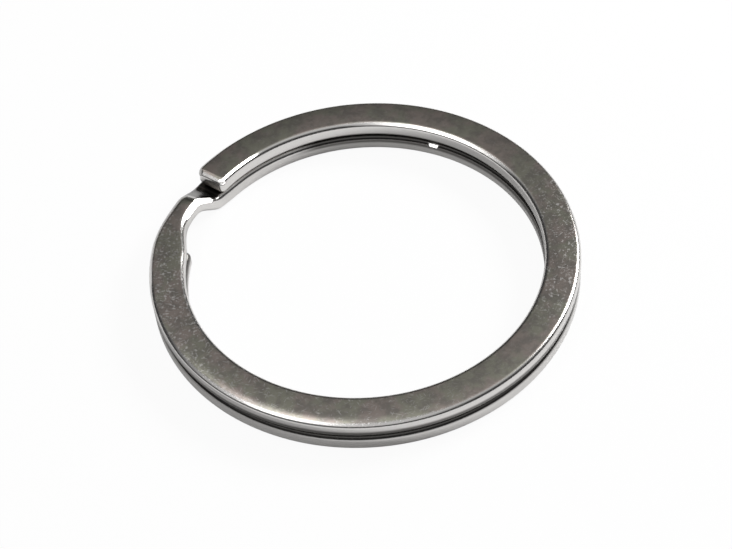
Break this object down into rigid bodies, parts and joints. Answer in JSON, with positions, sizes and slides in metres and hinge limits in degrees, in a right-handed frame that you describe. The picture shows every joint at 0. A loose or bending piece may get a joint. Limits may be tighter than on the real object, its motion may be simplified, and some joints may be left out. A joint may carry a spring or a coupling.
{
  "type": "split key ring",
  "caption": "Round key ring: flat spring-steel wire wound into two flat turns joined by a short crank, with rounded tips, that keys are threaded onto between the turns",
  "frame": {"origin": "on the ring's axis, level with the flat underside that it rests on", "axes": "+Z is the ring's axis, up out of the upper turn; +X and +Y lie in the flat of the ring, and the crank is 141.5 to 152.5 degrees anticlockwise from +X seen from above"},
  "size_m": [0.032, 0.032, 0.0028],
  "materials": {
    "spring_steel": "tumbled and worn hardened steel, soft grey sheen, brighter along the rounded edges"
  },
  "bodies": {
    "root": {"split_ring": "spring_steel"}
  },
  "joints": []
}
